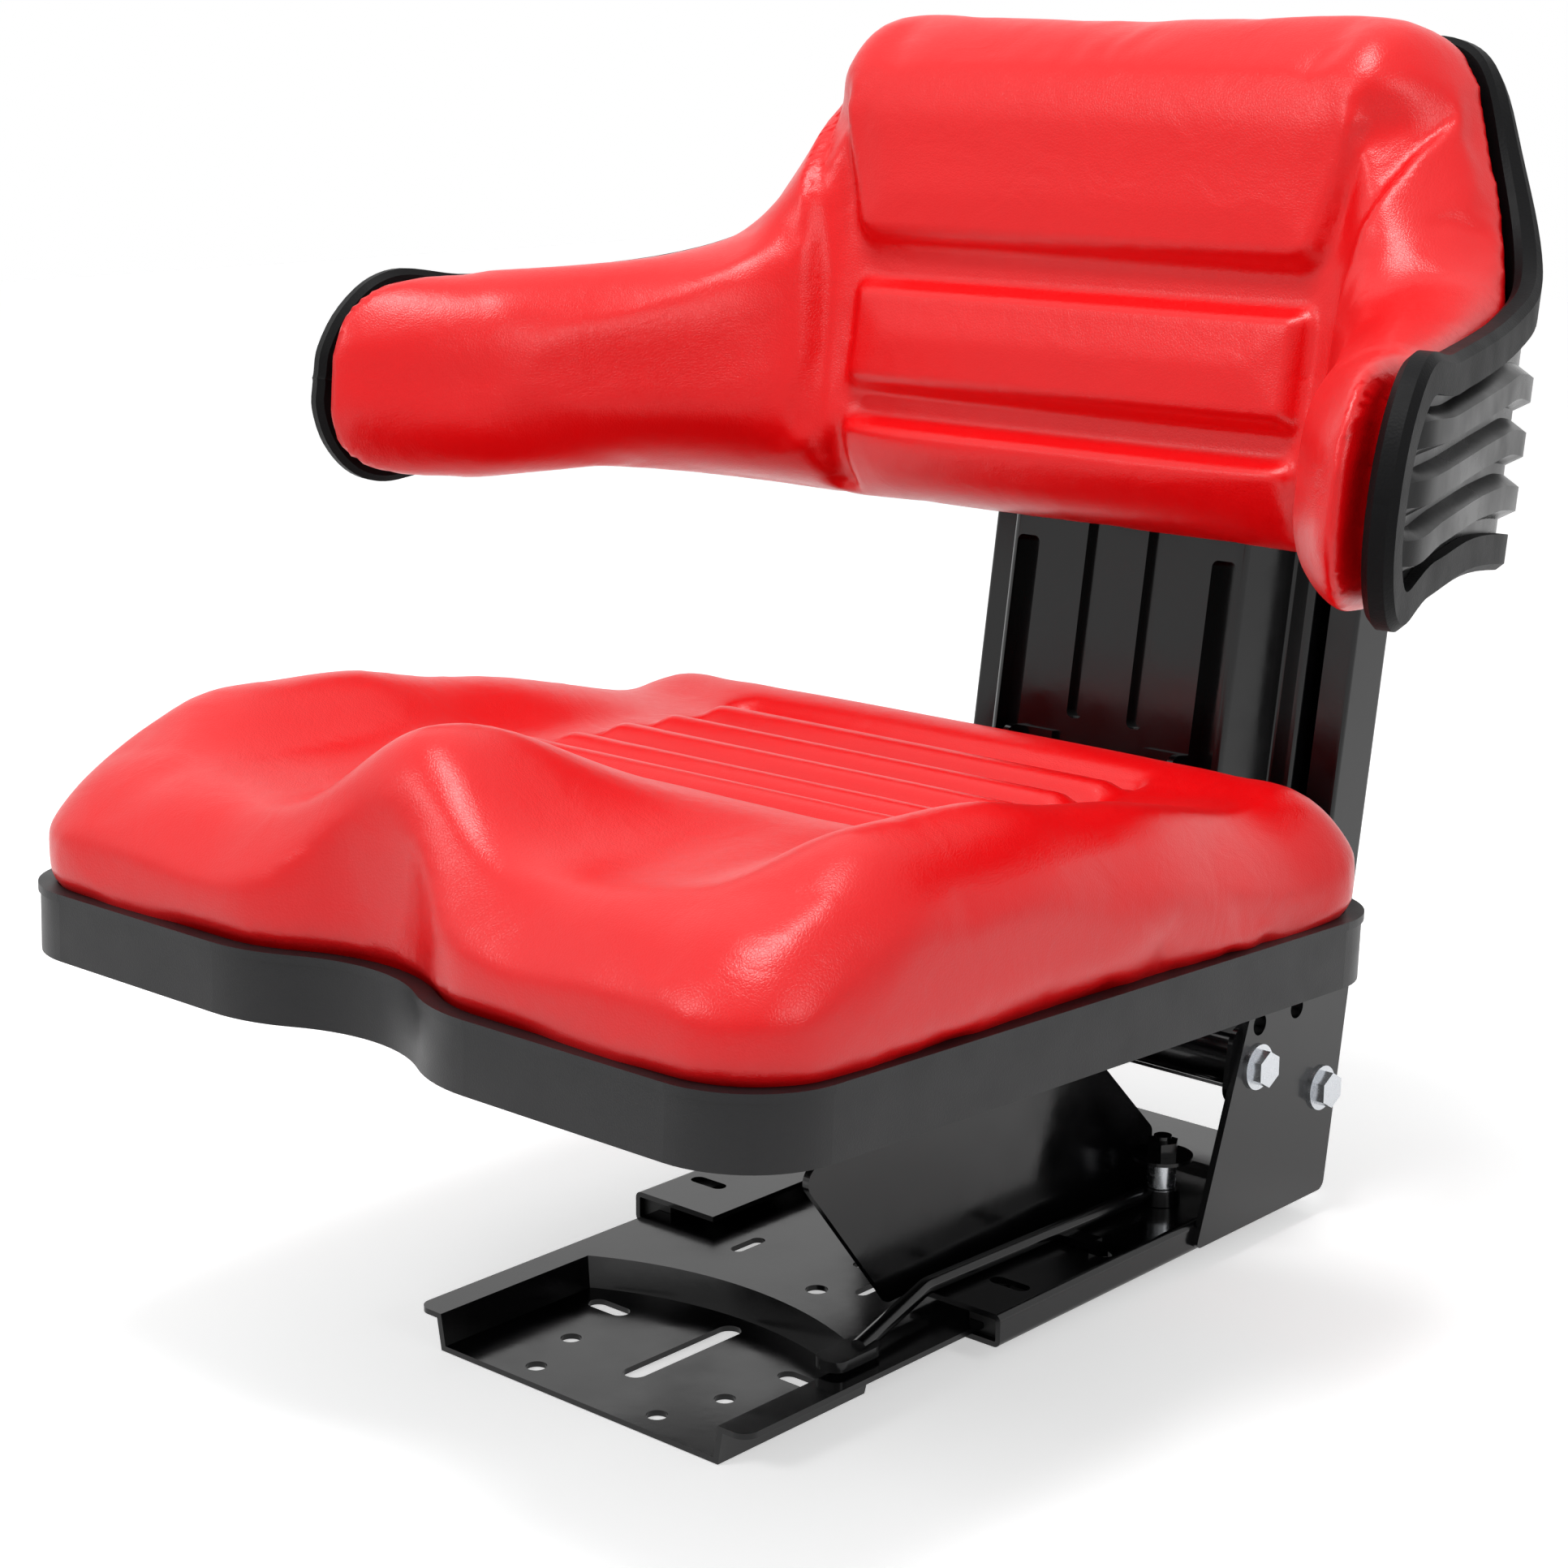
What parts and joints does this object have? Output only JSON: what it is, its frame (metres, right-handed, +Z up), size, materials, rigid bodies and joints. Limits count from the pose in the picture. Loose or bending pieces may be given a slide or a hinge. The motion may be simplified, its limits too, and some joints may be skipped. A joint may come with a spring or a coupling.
{
  "type": "suspension seat",
  "caption": "Padded bucket seat with wrap-around backrest arms on a sprung, roller-guided back frame, standing on a slotted base pan with a latched fore-and-aft slide.",
  "frame": {"origin": "middle of the four mounting slots, on the underside of the base pan", "axes": "+Z up, the sitter faces -Y, +X is the sitter's left"},
  "size_m": [0.7016, 0.6999, 0.6692],
  "materials": {
    "steel_black": "gloss black enamel",
    "shell_black": "satin black enamel",
    "zinc": "bright zinc",
    "spring_steel": "oiled steel",
    "damper_steel": "black enamel",
    "rod_chrome": "polished",
    "roller_plastic": "natural nylon",
    "glide_plastic": "black nylon",
    "stop_rubber": "matte",
    "band_plastic": "matte black",
    "trim_plastic": "grained black",
    "cover_red": "grained red vinyl"
  },
  "bodies": {
    "base": {"base_pan": "steel_black"},
    "carriage": {"rail_left": "steel_black", "rail_right": "steel_black", "slide_glides": "glide_plastic", "side_plate_left": "steel_black", "side_plate_right": "steel_black", "cross_member": "steel_black", "bump_bridge": "steel_black", "bump_stops": "stop_rubber", "side_bolts": "zinc", "side_nuts": "zinc", "cross_tube": "steel_black", "back_frame": "steel_black", "spring_bar": "steel_black", "damper_bracket": "steel_black", "damper_body": "damper_steel", "rebound_stops": "stop_rubber", "lever_bolt": "steel_black", "lever_sleeve": "zinc", "lever_washer": "steel_black", "lever_nut": "steel_black"},
    "carrier": {"carrier_plate": "steel_black", "roller_pins": "zinc", "spring_anchors": "steel_black", "spring_left": "spring_steel", "spring_right": "spring_steel", "damper_rod": "rod_chrome", "damper_nut": "zinc", "seat_arm_left": "steel_black", "seat_arm_right": "steel_black", "arm_bolts": "zinc", "arm_nuts": "zinc", "backrest_bolts": "zinc", "backrest_nuts": "zinc", "seat_pan": "steel_black", "edge_band": "band_plastic", "seat_cushion": "cover_red", "backrest_shell": "shell_black", "backrest_pad": "cover_red", "backrest_trim": "trim_plastic"},
    "lever": {"release_lever": "steel_black"},
    "roller_lower_left": {"roller_lower_left": "roller_plastic"},
    "roller_lower_right": {"roller_lower_right": "roller_plastic"},
    "roller_upper_left": {"roller_upper_left": "roller_plastic"},
    "roller_upper_right": {"roller_upper_right": "roller_plastic"}
  },
  "joints": [
    {"name": "fore_aft_slide", "type": "slide", "parent": "base", "child": "carriage", "axis": [0, 1, 0], "range_m": [-0.06, 0.06]},
    {"name": "suspension", "type": "slide", "parent": "carriage", "child": "carrier", "axis": [0, 0.1564, 0.9877], "range_m": [-0.055, 0], "stiffness_N_per_m": 9000, "springref_m": 0.045, "deforming": ["spring_left", "spring_right"]},
    {"name": "release_lever_turn", "type": "hinge", "parent": "carriage", "child": "lever", "pos_m": [0.097, 0.14, 0.034], "axis": [0, 0, 1], "range_deg": [0, 6], "stiffness_Nm_per_rad": 4, "springref_deg": -5.73},
    {"name": "roller_lower_left_spin", "type": "hinge", "parent": "carrier", "child": "roller_lower_left", "pos_m": [0.1155, 0.26034, 0.19958], "axis": [1, 0, 0], "range_deg": [-20, 220]},
    {"name": "roller_lower_right_spin", "type": "hinge", "parent": "carrier", "child": "roller_lower_right", "pos_m": [-0.1155, 0.26034, 0.19958], "axis": [1, 0, 0], "range_deg": [-20, 220]},
    {"name": "roller_upper_left_spin", "type": "hinge", "parent": "carrier", "child": "roller_upper_left", "pos_m": [0.1155, 0.30305, 0.46922], "axis": [1, 0, 0], "range_deg": [-20, 220]},
    {"name": "roller_upper_right_spin", "type": "hinge", "parent": "carrier", "child": "roller_upper_right", "pos_m": [-0.1155, 0.30305, 0.46922], "axis": [1, 0, 0], "range_deg": [-20, 220]}
  ],
  "couplings": [
    {"joint": "roller_lower_left_spin", "follows": "suspension", "rad_per_m": -65.147},
    {"joint": "roller_lower_right_spin", "follows": "suspension", "rad_per_m": -65.147},
    {"joint": "roller_upper_left_spin", "follows": "suspension", "rad_per_m": -65.147},
    {"joint": "roller_upper_right_spin", "follows": "suspension", "rad_per_m": -65.147}
  ]
}
